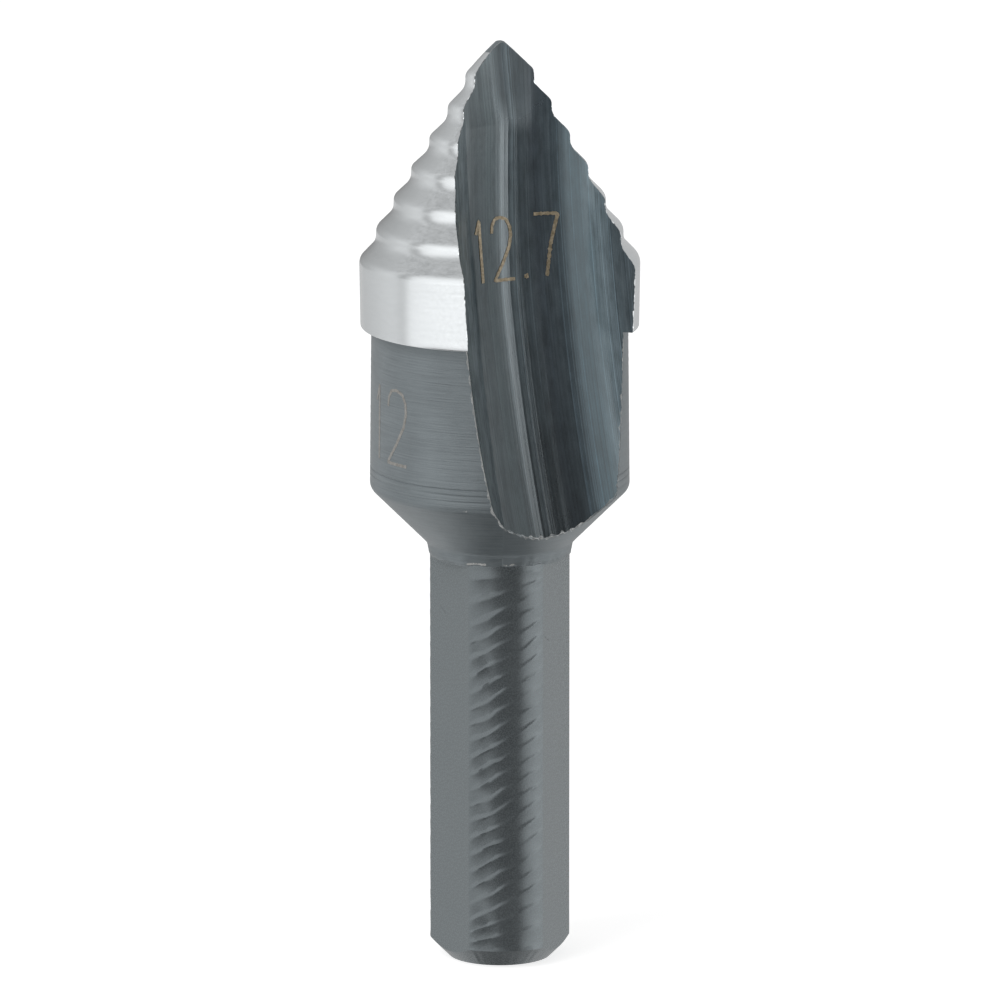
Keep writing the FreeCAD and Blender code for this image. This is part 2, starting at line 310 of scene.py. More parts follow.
def lower_outline():
    """The outline from the collar to the land, with the fine grooves in it."""
    lower = rounded([(COLLAR_R, SHANK_TOP + 0.08, 0), (COLLAR_R, COLLAR_TOP, 0.15),
                     (BODY_BASE_R, BODY_BASE, 0.2), (BODY_TOP_R, LAND_BASE, 0)], 0.1)
    for height, deep in GROOVES:
        beside = np.array([height - 0.05, height, height + 0.05])
        ring = np.c_[outline_radius(lower, beside) - np.array([0, deep, 0]), beside]
        lower = np.vstack([lower[np.abs(lower[:, 1] - height) > 0.07], ring])
        lower = lower[np.argsort(lower[:, 1], kind="stable")]
    return lower


def upper_outline():
    """The outline from the body over the land and the steps to the tip."""
    corners = [(BODY_BASE_R, BODY_BASE, 0), (BODY_TOP_R, LAND_BASE - 0.03, 0.03),
               (LAND_BASE_R, LAND_BASE, 0.06), (LAND_R, LAND_TOP, 0.22)]
    height = LAND_TOP
    for r in reversed(STEP_RS):
        corners.append((r + STEP_EXTRA, height + STEP_RUN, 0.3))
        corners.append((r + STEP_EXTRA, height + STEP_PITCH, 0.2))
        height += STEP_PITCH
    corners += [(TIP_R, TIP, 0.1), (0.05, TIP + 0.02, 0)]
    return rounded(corners, 0.11)


def exit_rows(lower, exits):
    """Rows whose flute columns run down to the exit while the land keeps level rows."""
    levels = lower[(lower[:, 1] > EXIT_CORNER + 0.01) & (lower[:, 1] < EXIT_TOP - 0.01), 1]
    gap = 0.045 + 0.05 * np.clip(wave(FLUTE_T * 8, 21, 0.5), -0.7, 1.6)
    rows = []
    for h in np.r_[EXIT_CORNER, levels, EXIT_TOP]:
        r = outline_radius(lower, h)
        points, lay = half_ring(r, h, BODY_CHIP)
        down = (EXIT_TOP - h) / (EXIT_TOP - EXIT_CORNER)
        heights = EXIT_TOP + (exits + gap - EXIT_TOP) * down
        rake, heel = flute_edges(r, h)
        rake_chip, heel_chip = chip(h, 11, BODY_CHIP), chip(h, 12, HEEL_SHARE * BODY_CHIP)
        s = across_flute(rake + rake_chip, heel - heel_chip, h)
        x, y, _ = flute_point(s, heights)
        points[:FLUTE_COLUMNS] = np.c_[x, y, heights]
        lay[:FLUTE_COLUMNS, 0] = drifted(s, h)
        lay[:FLUTE_COLUMNS, 2] = heights
        worn = worn_columns(0.85)
        if h == EXIT_CORNER:
            worn[:FLUTE_COLUMNS] = 0.95
        if abs(h - BODY_BASE) < 0.05:
            worn[FLUTE_COLUMNS:] = np.maximum(worn[FLUTE_COLUMNS:], 0.62)
        rows.append((points, lay, worn, "head"))
    return rows


def cone_ring(turn, level, r, worn):
    """A full ring of half the columns below the flute's exit."""
    points = np.c_[r * np.sin(turn), -r * np.cos(turn), level]
    return points, np.c_[turn * 6.0, np.ones(len(turn)), level], worn, "cone"


def collar_rings(lower, exits, first_row):
    """Rings from the shank's top, with the collar's ragged lip, up to the flute's exit."""
    width = FLUTE_COLUMNS + LAND_COLUMNS
    turn = np.unwrap(turn_of(first_row[:, 0], first_row[:, 1]))
    along = turn * COLLAR_R
    gap = 0.05 + 0.06 * np.clip(wave(FLUTE_T * 8, 22, 0.4), -0.8, 1.6)
    front = (turn + math.pi / 2) % math.pi - math.pi / 2
    # A burr on the collar's lip: bare bright metal, with a painted highlight that is strongest
    # where it faces the front.
    burr_and_glint = np.exp(-((front + 0.41) / 0.09) ** 4) * 0.5 + np.exp(-(front / 0.55) ** 4) * 0.8
    first = np.r_[exits - gap, np.full(LAND_COLUMNS, EXIT_CORNER - 0.03)]
    rings = []
    for h in np.r_[SHANK_TOP - 0.02, SHANK_TOP, SHANK_TOP + 0.06, SHANK_TOP + 0.12,
                   np.linspace(SHANK_TOP + 0.2, COLLAR_TOP - 0.12, 5)]:
        lip = COLLAR_R - 0.10 * (COLLAR_TOP - 0.1 - h) / 0.5 + 0.008 * wave(along, 31, 0.8)
        lip = lip + 0.008 * wave(h * 8 + turn * 0.7, 32, 1.0)
        if h < SHANK_TOP - 0.01:
            lip = np.full(width, 2.9)
        elif h < SHANK_TOP + 0.05:
            lip = lip - 0.03 + 0.012 * wave(along, 33, 0.35)
        elif h < SHANK_TOP + 0.1:
            lip = lip + 0.015 * wave(along, 34, 0.3)
        level = np.full(width, h)
        if h >= SHANK_TOP:
            level = level + 0.03 * np.clip(wave(along, 35, 1.2), -1.2, 1.2)
        on_lip = SHANK_TOP + 0.03 < h < SHANK_TOP + 0.15
        rings.append(cone_ring(turn, level, lip, burr_and_glint * on_lip))
    for t in crowded(16, 0.3):
        level = COLLAR_TOP - 0.06 + (first - COLLAR_TOP + 0.06) * t
        r = outline_radius(lower, level) + 0.004 * wave(level, 36, 0.3)
        worn = np.zeros(width)
        if t == 1:
            worn[:FLUTE_COLUMNS] = 1.0
        rings.append(cone_ring(turn, level, r, worn))
    return rings


def head_rings():
    """Half rings of the head from the collar up to the tip, each with its points, its places in
    the finish, its wear and whether its flute columns lie on the flute."""
    lower = lower_outline()
    exits = exit_heights(lower)
    rows = exit_rows(lower, exits)
    rings = collar_rings(lower, exits, rows[0][0]) + rows
    for r, h in upper_outline():
        if h <= EXIT_TOP + 0.05 or r < 0.04:
            continue
        size = STEP_CHIP if h > LAND_BASE else BODY_CHIP
        body = h < LAND_BASE - 0.03
        finish = 0.003 * float(wave(h, 41, 0.22)) if body else 0.001 * float(wave(h, 42, 0.2))
        points, lay = half_ring(r + finish, h, size)
        rings.append((points, lay, worn_columns(0.85 if body else 0.5), "head"))
    return rings


FLAT_COLUMNS = 10
ROUND_COLUMNS = 38


def shank_columns(half):
    """The shank's columns, flat by flat: their angles, the flat each is nearest to, and how far
    each is from the flats, from 0 at a flat to 1 midway between two."""
    turns, nearest, on_round = [], [], []
    third = math.radians(120)
    for flat in np.radians(FLAT_DIRECTIONS):
        for t in np.linspace(-1, 1, FLAT_COLUMNS + 1)[:-1]:
            turns.append(flat + half * t)
            nearest.append(flat)
            on_round.append(0.0)
        for t in crowded(ROUND_COLUMNS + 1, 0.3)[:-1]:
            turns.append(flat + half + (third - 2 * half) * t)
            nearest.append(flat if t < 0.5 else flat + third)
            on_round.append(math.sin(math.pi * t))
    return np.array(turns), np.array(nearest), np.array(on_round)


def shank_rings():
    """Rings of the shank from its end face up into the collar."""
    half = math.acos(FLAT_HEIGHT / SHANK_R)
    turns, nearest, on_round = shank_columns(half)
    flat_r = FLAT_HEIGHT / np.cos(turns - nearest)
    crease = np.minimum(flat_r, SHANK_R) - (SHANK_R - CHAMFER)
    edge = np.clip(on_round * 5, 0, 1)
    across = turns * SHANK_R

    # The ridges slant across each round part, and the rings level off again over the flats.
    sixth = math.radians(60)
    middle_of_round = np.radians(FLAT_DIRECTIONS)[:, None] + sixth
    offset = (turns - middle_of_round + math.pi / 3) % (math.pi * 2 / 3) - math.pi / 3
    offset = offset[np.argmin(np.abs(offset), axis=0), np.arange(len(turns))]
    span = sixth - half
    slant = np.where(np.abs(offset) < span, offset,
                     np.sign(offset) * (sixth - np.abs(offset)) * span / half)
    slant = RIDGE_SLANT * SHANK_R * slant

    rings = []
    for t in (0.0, 0.12, 0.3, 0.5, 0.7, 0.9, 1.0):
        rough = 0.012 * wave(across, 61, 0.3) * math.sin(math.pi * t)
        rings.append((turns, crease * t, SHANK_R - CHAMFER + crease * t + rough))
    rows = len(RIDGE_ROWS)
    for row in range(1, int((FLAT_TOP - 1.0) / RIDGE * rows)):
        s = RIDGE_ROWS[row % rows]
        h = CHAMFER + RIDGE * (row // rows + s)
        ease = min(1, (h - CHAMFER) / 2, (FLAT_TOP - h) / 2)
        level = np.where(h < LEVEL_FROM,
                         crease + (h - CHAMFER) * (LEVEL_FROM - crease) / (LEVEL_FROM - CHAMFER), h)
        level = level + ease * (slant + 0.05 * wave(across + 3 * (row // rows), 62, 2.0))
        depth = RIDGE_DEPTH * np.clip(1 + 0.3 * wave(h * 0.7 + across * 1.1, 63, 2.2), 0.3, 2)
        depth = depth * np.interp(offset / span, RIDGE_PLACES, RIDGE_DEPTHS)
        hollow = depth * min(1, s / 0.18) ** 1.5 * (1 - s ** 2.2)
        hollow = edge * (hollow + 0.0015 * wave(h - across * 0.8, 64, 0.25))
        rings.append((turns, level, np.minimum(SHANK_R - hollow, flat_r)))
    for h, rise in ((FLAT_TOP, 0), (FLAT_TOP + 0.01, 1), (FLAT_TOP + 0.3, 1)):
        r = np.minimum(SHANK_R, flat_r) * (1 - rise) + SHANK_R * rise
        rings.append((turns, np.full(len(turns), h), r))
    return rings


def attribute(mesh, name, values):
    """Stores one number or one vector a point on the mesh."""
    kind, field = ("FLOAT", "value") if values.shape[1] == 1 else ("FLOAT_VECTOR", "vector")
    layer = mesh.attributes.new(name, kind, "POINT")
    layer.data.foreach_set(field, np.ascontiguousarray(values, dtype=np.float32).ravel())


def link(name, data):
    """A new object for a mesh, a lamp or a camera, in the scene."""
    piece = bpy.data.objects.new(name, data)
    bpy.context.scene.collection.objects.link(piece)
    return piece


def skin(name, points, faces_of, looks, values, crease):
    """A closed mesh from rings of points: quads between rings and a fan at each end. Edges
    sharper than crease, in degrees, stay sharp."""
    rows, columns, _ = points.shape
    flat = points.reshape(-1, 3)
    ends = np.array([points[0].mean(axis=0), points[-1].mean(axis=0)])
    vertices = np.vstack([flat, ends]) * MM
    i = np.arange(rows - 1)[:, None] * columns
    j = np.arange(columns)[None, :]
    k = (j + 1) % columns
    quads = np.stack([i + j, i + k, i + columns + k, i + columns + j], axis=-1).reshape(-1, 4)
    j = np.arange(columns)
    k = (j + 1) % columns
    bottom = np.c_[np.full(columns, len(flat)), k, j]
    last = (rows - 1) * columns
    top = np.c_[np.full(columns, len(flat) + 1), last + j, last + k]
    mesh = bpy.data.meshes.new(name)
    mesh.from_pydata(vertices.tolist(), [], quads.tolist() + bottom.tolist() + top.tolist())
    for look in looks:
        mesh.materials.append(look)
    index = np.concatenate([faces_of.ravel(), np.full(columns, faces_of[0, 0]),
                            np.full(columns, faces_of[-1, 0])])
    mesh.polygons.foreach_set("material_index", index.astype(np.int32))
    mesh.polygons.foreach_set("use_smooth", np.ones(len(index), dtype=bool))
    for key, rows_of_values in values.items():
        data = rows_of_values.reshape(rows * columns, -1)
        attribute(mesh, key, np.vstack([data, data[:1], data[-1:]]))
    mesh.update()
    mesh.set_sharp_from_angle(angle=math.radians(crease))
    return link(name, mesh)


class Look:
    """A material's node tree, with short ways to add nodes and link them."""

    def __init__(self, tree):
        self.tree = tree

    def add(self, kind, inputs=(), **settings):
        node = self.tree.nodes.new(kind)
        for key, value in settings.items():
            setattr(node, key, value)
        for key, value in dict(inputs).items():
            self.put(node.inputs[key], value)
        return node

    def put(self, socket, value):
        if isinstance(value, bpy.types.NodeSocket):
            self.tree.links.new(value, socket)
        else:
            socket.default_value = value

    def math(self, operation, *values, clamp=False):
        node = self.add("ShaderNodeMath", enumerate(values), operation=operation)
        node.use_clamp = clamp
        return node.outputs[0]

    def ramp(self, factor, stops):
        node = self.add("ShaderNodeValToRGB", {"Fac": factor})
        elements = node.color_ramp.elements
        while len(elements) < len(stops):
            elements.new(1.0)
        for element, (at, color) in zip(elements, stops):
            element.position = at
            element.color = (*color, 1) if len(color) == 3 else color
        return node.outputs["Color"]

    def grey_ramp(self, factor, stops):
        return self.ramp(factor, [(at, (level, level, level)) for at, level in stops])

    def blend(self, factor, first, second, kind="MIX"):
        node = self.add("ShaderNodeMix", data_type="RGBA", blend_type=kind)
        self.put(node.inputs[0], factor)
        self.put(node.inputs[6], first)
        self.put(node.inputs[7], second)
        return node.outputs[2]

    def stretched(self, vector, stretch):
        return self.add("ShaderNodeVectorMath", {0: vector, 1: stretch},
                        operation="MULTIPLY").outputs[0]

    def lay(self):
        """Coordinates along the finish, in millimetres: across it, the side, and the height."""
        return self.add("ShaderNodeAttribute", attribute_name="lay").outputs["Vector"]

    def layout(self, stretch):
        """The same, stretched by the three numbers."""
        return self.stretched(self.lay(), stretch)

    def millimetres(self):
        """The object's own coordinates in millimetres."""
        place = self.add("ShaderNodeTexCoord").outputs["Object"]
        return self.stretched(place, (1 / MM, 1 / MM, 1 / MM))

    def parts(self, vector):
        return self.add("ShaderNodeSeparateXYZ", {0: vector}).outputs

    def sum(self, *weighted):
        """The sum of pairs of a number and its weight."""
        total = None
        for value, weight in weighted:
            value = self.math("MULTIPLY", value, weight)
            total = value if total is None else self.math("ADD", total, value)
        return total

    def over(self, value, start, slope):
        """How far a value is past a start, times a slope, kept from 0 to 1."""
        return self.math("MULTIPLY", self.math("SUBTRACT", value, start), slope, clamp=True)

    def noise(self, vector, scale, detail=4.0, rough=0.6):
        node = self.add("ShaderNodeTexNoise", {"Vector": vector, "Scale": scale,
                                               "Detail": detail, "Roughness": rough})
        return node.outputs[0]

    def bump(self, height, distance, strength=1.0, normal=None):
        inputs = {"Height": height, "Distance": distance * MM, "Strength": strength}
        node = self.add("ShaderNodeBump", inputs)
        if normal is not None:
            self.put(node.inputs["Normal"], normal)
        return node.outputs["Normal"]


def material(name):
    """A new material with its node tree and its shader."""
    made = bpy.data.materials.new(name)
    made.use_nodes = True
    look = Look(made.node_tree)
    shader = made.node_tree.nodes["Principled BSDF"]
    return made, look, shader


def ground_steel():
    """Bright ground steel of the steps and land, with fine lines round the drill, and speckled
    on the slopes beside the flute's rake edge."""
    made, look, shader = material("ground_steel")
    fine = look.noise(look.layout((0.8, 1.0, 3.0)), 2.5)
    grain = look.noise(look.layout((1.0, 1.0, 1.0)), 6.0, 3.0)
    cloud = look.noise(look.layout((0.3, 1.0, 0.5)), 1.0, 2.0)
    tone = look.sum((fine, 0.5), (cloud, 0.5))
    color = look.ramp(tone, [(0.3, (0.80, 0.83, 0.845)), (0.7, (0.86, 0.89, 0.905))])
    shader.inputs["Metallic"].default_value = 1.0
    look.put(shader.inputs["Roughness"], look.grey_ramp(grain, [(0.3, 0.15), (0.7, 0.21)]))
    near_edge = look.over(look.parts(look.lay())[0], 13.4, 1.2)
    upward = look.parts(look.add("ShaderNodeNewGeometry").outputs["Normal"])[2]
    speckled = look.math("MULTIPLY", near_edge, look.over(upward, 0.25, 4.0))
    speckles = look.noise(look.layout((1.2, 1.0, 3.6)), 2.4, 4.0, 0.7)
    speckles = look.grey_ramp(speckles, [(0.34, 0.92), (0.46, 1.02), (0.66, 1.12)])
    speckles = look.blend(speckled, (1, 1, 1, 1), speckles)
    look.put(shader.inputs["Base Color"], look.blend(1.0, color, speckles, "MULTIPLY"))
    look.put(shader.inputs["Normal"], look.bump(fine, 0.001, 0.15))
    return made


# The faint blue of the oxide's reflections.
OXIDE_GLOSS = (0.86, 0.96, 1.0, 1)


def worn_mask(look):
    """Ragged mask of the bright worn edges, and of the painted highlight on the collar's burr."""
    worn = look.add("ShaderNodeAttribute", attribute_name="worn").outputs["Fac"]
    ragged = look.noise(look.layout((1.0, 1.0, 1.0)), 3.0, 5.0, 0.7)
    ragged = look.math("MULTIPLY", look.math("SUBTRACT", ragged, 0.5), 1.5)
    patches = look.noise(look.layout((1.0, 1.0, 1.0)), 0.9, 2.0)
    ragged = look.math("MULTIPLY_ADD", look.math("SUBTRACT", patches, 0.52), 2.2, ragged)
    return look.grey_ramp(look.math("ADD", worn, ragged), [(0.88, 0.0), (1.1, 1.0)])


# The flute's colour by place along the wheel's profile, in mm from the floor line, the rake side
# first: its tint, which is painted reflection and painted shade in bands (a painted highlight
# streak just past the floor line, bright painted reflections on both walls), how much its foot
# darkens and its tip takes painted shade, where it stays light to the foot as a painted reflection,
# and how marked its lines are. The ramps span PLACES.
PLACES = (-6.0, 8.0)
FLUTE_PAINTED_LIGHT = ((-5.0, (0.360, 0.385, 0.375)), (-2.6, (0.335, 0.370, 0.378)),
               (-2.2, (0.183, 0.206, 0.210)), (-1.8, (0.126, 0.151, 0.158)),
               (-1.4, (0.127, 0.154, 0.162)), (-1.0, (0.150, 0.186, 0.192)),
               (-0.5, (0.134, 0.168, 0.178)), (0.0, (0.086, 0.106, 0.117)),
               (0.25, (0.225, 0.266, 0.283)), (0.45, (0.148, 0.176, 0.189)),
               (0.65, (0.100, 0.123, 0.136)), (1.0, (0.135, 0.159, 0.172)),
               (1.4, (0.106, 0.125, 0.142)), (2.2, (0.130, 0.156, 0.172)),
               (2.6, (0.088, 0.122, 0.141)), (3.0, (0.076, 0.133, 0.160)),
               (3.4, (0.060, 0.115, 0.140)), (3.8, (0.152, 0.213, 0.240)),
               (4.2, (0.306, 0.366, 0.390)), (4.6, (0.288, 0.342, 0.366)),
               (5.0, (0.170, 0.199, 0.212)), (5.6, (0.121, 0.140, 0.152)),
               (7.0, (0.100, 0.120, 0.130)))
FLOOR_BAND = ((-0.7, 0.0), (-0.3, 0.8), (0.0, 1.0), (1.0, 1.0), (1.5, 0.6), (2.0, 0.5), (2.3, 0.0))
BLUE_PAINTED_REFLECTION = ((2.2, 0.0), (2.8, 1.0))
FLUTE_LINES = ((-5.0, 0.15), (-1.2, 0.25), (-0.7, 1.0), (0.6, 1.0), (1.0, 0.45),
               (1.9, 0.3), (2.2, 1.0), (7.0, 1.0))


# How the floor band's tone changes with height, from FOOT to FOOT + FOOT_SPAN: darker towards
# the foot, and painted shade at the very tip.
FOOT = 20.0
FOOT_SPAN = 20.0
FLOOR_TONES = ((0.05, 0.50), (0.13, 0.56), (0.22, 0.60), (0.26, 0.76), (0.36, 0.92), (0.5, 1.0),
               (0.955, 1.0), (0.998, 0.9))


def flute_colour_and_painted_light(look, color):
    """The flute's colour made from the plain oxide's, with painted reflections and painted shade in
    bands across it and painted shade near the tip, how marked its lines are, and how much rougher
    it is near the tip."""
    across, _, height = look.parts(look.lay())
    first, last = PLACES
    place = look.math("DIVIDE", look.math("SUBTRACT", across, first), last - first)

    def along_profile(levels):
        return look.grey_ramp(place, [((at - first) / (last - first), level)
                                      for at, level in levels])

    # Painted reflections and painted shade: bands of lighter and darker colour across the flute.
    painted_light_tint = look.ramp(place, [((at - first) / (last - first), painted_light_tint) for at, painted_light_tint in FLUTE_PAINTED_LIGHT])
    color = look.blend(1.0, color, painted_light_tint, "MULTIPLY")
    rise = look.math("DIVIDE", look.math("SUBTRACT", height, FOOT), FOOT_SPAN)
    foot = look.grey_ramp(rise, [(0.02, 0.62), (0.2, 0.85), (0.5, 1.0)])
    # Painted reflection: the bluish band stays light down to the foot.
    foot = look.blend(along_profile(BLUE_PAINTED_REFLECTION), foot, (1.08, 1.08, 1.08, 1))
    blotch = look.noise(look.layout((1.6, 1.0, 0.45)), 1.6, 4.0)
    blotch = look.grey_ramp(blotch, [(0.36, 0.78), (0.5, 1.0), (0.64, 1.16)])
    color = look.blend(1.0, color, look.blend(1.0, foot, blotch, "MULTIPLY"), "MULTIPLY")
    floor_band = along_profile(FLOOR_BAND)
    # Darker towards the foot, and painted shade at the very tip.
    floor_tone = look.grey_ramp(rise, FLOOR_TONES)
    color = look.blend(floor_band, color, look.blend(1.0, color, floor_tone, "MULTIPLY"))
    # Fine grinding lines along the flute, painted partly as bright bluish glints and partly as
    # darker lines.
    hairline_glints = look.noise(look.layout((8.0, 1.0, 0.012)), 2.2, 3.0)
    hairline_glints = look.ramp(hairline_glints, [(0.35, (1.8, 1.9, 2.0)), (0.42, (1.0, 1.0, 1.0)),
                            (0.58, (1.0, 1.0, 1.0)), (0.65, (0.62, 0.62, 0.62))])
    marked = along_profile(FLUTE_LINES)
    color = look.blend(marked, color, look.blend(1.0, color, hairline_glints, "MULTIPLY"))
    rougher = look.math("MULTIPLY", look.over(height, 38.0, 0.55), floor_band)
    return color, marked, look.math("MULTIPLY", rougher, 0.4)


def oxide(name, dark, light, stretch, scale, rough, bump_depth, ior, flute=False):
    """Blackened steel: a dark finish with fine lines, worn bright along its edges. On the flute it
    also carries painted reflections and painted shade.
    """
    made, look, shader = material(name)
    fine = look.noise(look.layout(stretch), scale, 6.0, 0.65)
    cloud = look.noise(look.layout((0.4, 1.0, 0.4)), 1.0, 3.0)
    grain = look.noise(look.layout((1.0, 1.0, 1.0)), 16.0, 3.0)
    tone = look.sum((fine, 0.55), (cloud, 0.25), (grain, 0.2))
    color = look.ramp(tone, [(0.38, dark), (0.62, light)])
    marked, rougher = 1.0, 0.0
    if flute:
        # The flute's colour takes painted reflections and painted shade.
        color, marked, rougher = flute_colour_and_painted_light(look, color)
    worn = worn_mask(look)
    bright = look.ramp(grain, [(0.35, (0.42, 0.41, 0.38)), (0.65, (0.93, 0.93, 0.92))])
    look.put(shader.inputs["Base Color"], look.blend(worn, color, bright))
    look.put(shader.inputs["Metallic"], look.math("MULTIPLY", worn, 0.5))
    shader.inputs["Specular Tint"].default_value = OXIDE_GLOSS
    shader.inputs["IOR"].default_value = ior
    spread = look.grey_ramp(look.sum((grain, 0.5), (fine, 0.5)), [(0.3, rough[0]), (0.7, rough[1])])
    look.put(shader.inputs["Roughness"], look.math("ADD", spread, rougher))
    normal = look.bump(fine, bump_depth, marked)
    look.put(shader.inputs["Normal"], look.bump(grain, 0.003, 0.6, normal))
    return made


def shank_finish(name, dark, light, texture):
    """Blackened ground steel of the shank."""
    made, look, shader = material(name)
    place = look.millimetres()
    fine = look.noise(look.stretched(place, (1, 1, 6)), 2.0, 5.0, 0.6)
    grain = look.noise(place, 14.0, 3.0)
    cloud = look.noise(place, 0.5, 3.0)
    tone = look.sum((grain, 0.4), (cloud, 0.6))
    look.put(shader.inputs["Base Color"], look.ramp(tone, [(0.3, dark), (0.7, light)]))
    shader.inputs["Specular Tint"].default_value = OXIDE_GLOSS
    shader.inputs["IOR"].default_value = 2.2
    look.put(shader.inputs["Roughness"], look.grey_ramp(grain, [(0.3, 0.22), (0.7, 0.32)]))
    normal = look.bump(fine, 0.0025, texture)
    look.put(shader.inputs["Normal"], look.bump(grain, 0.0015, texture, normal))
    return made


def build_head():
    """The head: each half ring and its copy turned by half a turn, skinned from the collar up."""
    rings = head_rings()
    points = np.array([np.vstack([ring, ring * np.array([-1, -1, 1])]) for ring, *_ in rings])
    lays = np.array([np.vstack([lay, lay + np.array([0, 50, 0])]) for _, lay, *_ in rings])
    worn = np.array([np.r_[ring_worn, ring_worn] for _, _, ring_worn, _ in rings])
    half = FLUTE_COLUMNS + LAND_COLUMNS
    column = np.arange(2 * half) % half
    on_flute_columns = column < FLUTE_COLUMNS - 1
    heel_strip = column == FLUTE_COLUMNS - 1
    steel, body, flute = 0, 1, 2
    faces = np.zeros((len(points) - 1, 2 * half), dtype=int)
    for row in range(len(points) - 1):
        low = points[row][:, 2]
        faces[row] = np.where((low > LAND_BASE - 0.02) & (low < POINT_BASE), steel, body)
        if rings[row][3] == "head":
            faces[row] = np.where(on_flute_columns, flute, faces[row])
            faces[row] = np.where(heel_strip & (low <= LAND_BASE), body, faces[row])
    looks = [
        ground_steel(),
        oxide("body_oxide", (0.096, 0.111, 0.120), (0.198, 0.224, 0.239), (0.12, 1.0, 5.0), 3.0,
              (0.28, 0.42), 0.014, 2.2),
        # The flute, with painted reflections and painted shade in its colour.
        oxide("flute_oxide_painted_light", (0.49, 0.54, 0.57), (0.84, 0.88, 0.91), (5.0, 1.0, 0.02), 2.2,
              (0.08, 0.15), 0.005, 2.0, flute=True),
    ]
    return skin("drill_head", points, faces, looks, {"lay": lays, "worn": worn[..., None]}, 24)


# Strokes of the digits, in a box one wide and one high.
DIGITS = {
    "1": [[(0.1, 0.78), (0.5, 1.0), (0.5, 0.0)]],
    "2": [[(0.06, 0.76), (0.1, 0.88), (0.25, 0.98), (0.5, 1.0), (0.78, 0.96), (0.92, 0.84),
           (0.94, 0.7), (0.84, 0.52), (0.5, 0.26), (0.06, 0.0), (0.98, 0.0)]],
    "7": [[(0.04, 1.0), (0.96, 1.0), (0.62, 0.5), (0.4, 0.0)]],
    ".": [[(0.42, 0.0), (0.58, 0.0), (0.58, 0.05), (0.42, 0.05), (0.42, 0.0)]],
}


# Half the width of the digits' lines, and how far they stand out of the surface and reach into it.
LINE = 0.07
LIFTS = (0.006, -0.03)


def stroke_rails(stroke, seed):
    """The two edges and the middle of a line along a stroke."""
    length = np.r_[0, np.cumsum(np.hypot(*np.diff(stroke, axis=0).T))]
    at = np.linspace(0, length[-1], max(3, int(length[-1] / 0.07)))
    path = np.c_[np.interp(at, length, stroke[:, 0]), np.interp(at, length, stroke[:, 1])]
    along = np.gradient(path, axis=0)
    along /= np.hypot(*along.T)[:, None]
    side = np.c_[-along[:, 1], along[:, 0]]
    ragged = LINE * (1 + 0.15 * wave(at, seed, 0.2))[:, None]
    return [path + side * ragged, path, path - side * ragged]


def mark(name, text, width, gap, height, start, place, look):
    """Plain digits lasered on a surface, as thin closed ribbons along their strokes."""
    vertices, faces = [], []
    left = 0.0
    for letter in text:
        wide = width * {".": 0.35, "1": 0.5}.get(letter, 1.0)
        for stroke in DIGITS[letter]:
            stroke = np.array(stroke) * np.array([wide, height]) + np.array([left, 0])
            base = len(vertices)
            rails = stroke_rails(stroke, 71 + base)
            for lift in LIFTS:
                for rail in rails:
                    vertices += place(start[0] + rail[:, 0], start[1] + rail[:, 1], lift).tolist()
            n = len(rails[0])
            rows = [base + k * n for k in range(6)]
            for a, b in ((0, 1), (1, 2), (2, 5), (5, 4), (4, 3), (3, 0)):
                for i in range(n - 1):
                    faces.append((rows[a] + i, rows[a] + i + 1, rows[b] + i + 1, rows[b] + i))
            for i in (0, n - 1):
                faces.append((rows[0] + i, rows[1] + i, rows[4] + i, rows[3] + i))
                faces.append((rows[1] + i, rows[2] + i, rows[5] + i, rows[4] + i))
        left += wide + gap
    mesh = bpy.data.meshes.new(name)
    mesh.from_pydata((np.array(vertices) * MM).tolist(), [], faces)
    mesh.materials.append(look)
    work = bmesh.new()
    work.from_mesh(mesh)
    bmesh.ops.recalc_face_normals(work, faces=work.faces)
    work.to_mesh(mesh)
    work.free()
    return link(name, mesh)


def on_flute(v, h, lift):
    """Points on the flute's floor at an offset across it and a height, lifted off the surface."""
    s = np.interp(v, WHEEL_V[FLOOR], WHEEL_S[FLOOR])
    x, y, _ = flute_point(s, h)
    ahead, beyond, _ = flute_point(s + 0.02, h)
    out = np.c_[beyond - y, -(ahead - x)]
    out /= -np.hypot(*out.T)[:, None]
    return np.c_[x + lift * out[:, 0], y + lift * out[:, 1], h]


def on_body(along, h, lift):
    """Points on the body at a distance round it from the front and a height."""
    turn = along / BODY_TOP_R
    r = np.interp(h, [BODY_BASE, LAND_BASE], [BODY_BASE_R, BODY_TOP_R]) + lift
    return np.c_[r * np.sin(turn), -r * np.cos(turn), h]


def mark_finish(name, dark, light, metal):
    """The lasered digits' finish."""
    made, look, shader = material(name)
    grain = look.noise(look.millimetres(), 7.0, 4.0)
    look.put(shader.inputs["Base Color"], look.ramp(grain, [(0.35, dark), (0.65, light)]))
    shader.inputs["Metallic"].default_value = metal
    shader.inputs["Roughness"].default_value = 0.42
    look.put(shader.inputs["Normal"], look.bump(grain, 0.01))
    return made


def build_size_mark():
    gold = mark_finish("mark_gold", (0.28, 0.22, 0.14), (0.58, 0.49, 0.35), 0.4)
    return mark("size_mark", "12.7", 1.15, 0.34, 2.8, (-1.9, 31.6), on_flute, gold)


def build_body_mark():
    pale = mark_finish("mark_pale", (0.27, 0.26, 0.24), (0.40, 0.39, 0.37), 0.3)
    return mark("body_mark", "12", 1.5, 0.4, 3.4, (-7.25, 23.6), on_body, pale)


